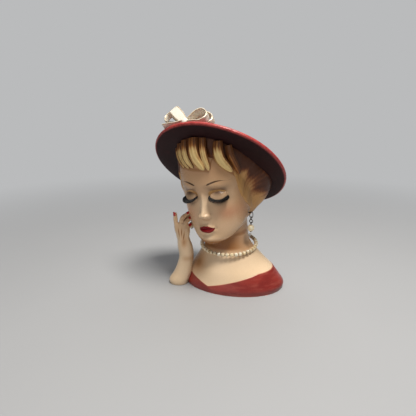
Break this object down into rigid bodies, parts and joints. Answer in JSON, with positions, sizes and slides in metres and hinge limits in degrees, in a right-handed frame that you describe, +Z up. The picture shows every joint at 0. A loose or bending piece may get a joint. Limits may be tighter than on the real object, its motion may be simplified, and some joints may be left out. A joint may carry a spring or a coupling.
{
  "type": "head planter",
  "caption": "Ceramic planter in the form of a lady's head and bust with a tilted hat, a raised hand, a turning bead necklace and swinging drop earrings; the hat's crown is open for plants.",
  "frame": {"origin": "centre of the foot, on the surface that the planter stands on", "axes": "+Z up through the head, -Y to the front of the bust, +X to her left"},
  "size_m": [0.1364, 0.1044, 0.1817],
  "materials": {
    "skin_glaze": "semi-gloss skin glaze over cold colour",
    "hat_paint": "satin maroon",
    "dress_paint": "satin maroon",
    "hair_paint": "brushed golden brown under glaze",
    "bow_glaze": "cream glaze with gold lines",
    "lash_black": "black fibre",
    "pearl": "champagne pearl",
    "thread": "cream thread",
    "dark_metal": "tarnished brass wire",
    "pale_metal": "worn gilt wire"
  },
  "bodies": {
    "vessel": {"head_and_bust": "skin_glaze", "hat": "hat_paint", "forearm_and_hand": "skin_glaze", "bow_knot": "bow_glaze", "bow_left_front_loop": "bow_glaze", "bow_left_rear_loop": "bow_glaze", "bow_right_front_loop": "bow_glaze", "bow_right_rear_loop": "bow_glaze", "bow_tail": "bow_glaze", "left_lash": "lash_black", "right_lash": "lash_black", "left_ear_eye": "dark_metal", "right_ear_eye": "dark_metal"},
    "necklace": {"necklace_pearls": "pearl", "necklace_thread": "thread", "necklace_ring": "pale_metal"},
    "left_ring": {"left_oval_ring": "dark_metal"},
    "left_upper": {"left_upper_link": "dark_metal"},
    "left_lower": {"left_lower_link": "dark_metal"},
    "left_drop": {"left_drop_pin": "dark_metal", "left_drop_pearl": "pearl"},
    "right_ring": {"right_oval_ring": "dark_metal"},
    "right_upper": {"right_upper_link": "dark_metal"},
    "right_lower": {"right_lower_link": "dark_metal"},
    "right_drop": {"right_drop_pin": "dark_metal", "right_drop_pearl": "pearl"}
  },
  "joints": [
    {"name": "necklace_turn", "type": "hinge", "parent": "vessel", "child": "necklace", "pos_m": [-0.0056, -0.0003, 0.043], "axis": [0, -0.1011, 0.9949], "continuous": true},
    {"name": "left_ring_swing", "type": "hinge", "parent": "vessel", "child": "left_ring", "pos_m": [0.019, -0.01413, 0.08122], "axis": [-0.2079, -0.9781, 0], "range_deg": [-5, 40]},
    {"name": "left_upper_link_swing", "type": "hinge", "parent": "left_ring", "child": "left_upper", "pos_m": [0.019, -0.01413, 0.07622], "axis": [0.9781, -0.2079, 0], "range_deg": [-30, 30]},
    {"name": "left_lower_link_swing", "type": "hinge", "parent": "left_upper", "child": "left_lower", "pos_m": [0.019, -0.01413, 0.07352], "axis": [-0.2079, -0.9781, 0], "range_deg": [-10, 30]},
    {"name": "left_drop_swing", "type": "hinge", "parent": "left_lower", "child": "left_drop", "pos_m": [0.019, -0.01413, 0.07082], "axis": [0.9781, -0.2079, 0], "range_deg": [-30, 30]},
    {"name": "right_ring_swing", "type": "hinge", "parent": "vessel", "child": "right_ring", "pos_m": [-0.04689, -0.00013, 0.07478], "axis": [0.2079, 0.9781, 0], "range_deg": [-5, 40]},
    {"name": "right_upper_link_swing", "type": "hinge", "parent": "right_ring", "child": "right_upper", "pos_m": [-0.04689, -0.00013, 0.06978], "axis": [0.9781, -0.2079, 0], "range_deg": [-30, 30]},
    {"name": "right_lower_link_swing", "type": "hinge", "parent": "right_upper", "child": "right_lower", "pos_m": [-0.04689, -0.00013, 0.06708], "axis": [0.2079, 0.9781, 0], "range_deg": [-10, 30]},
    {"name": "right_drop_swing", "type": "hinge", "parent": "right_lower", "child": "right_drop", "pos_m": [-0.04689, -0.00013, 0.06438], "axis": [0.9781, -0.2079, 0], "range_deg": [-30, 30]}
  ]
}
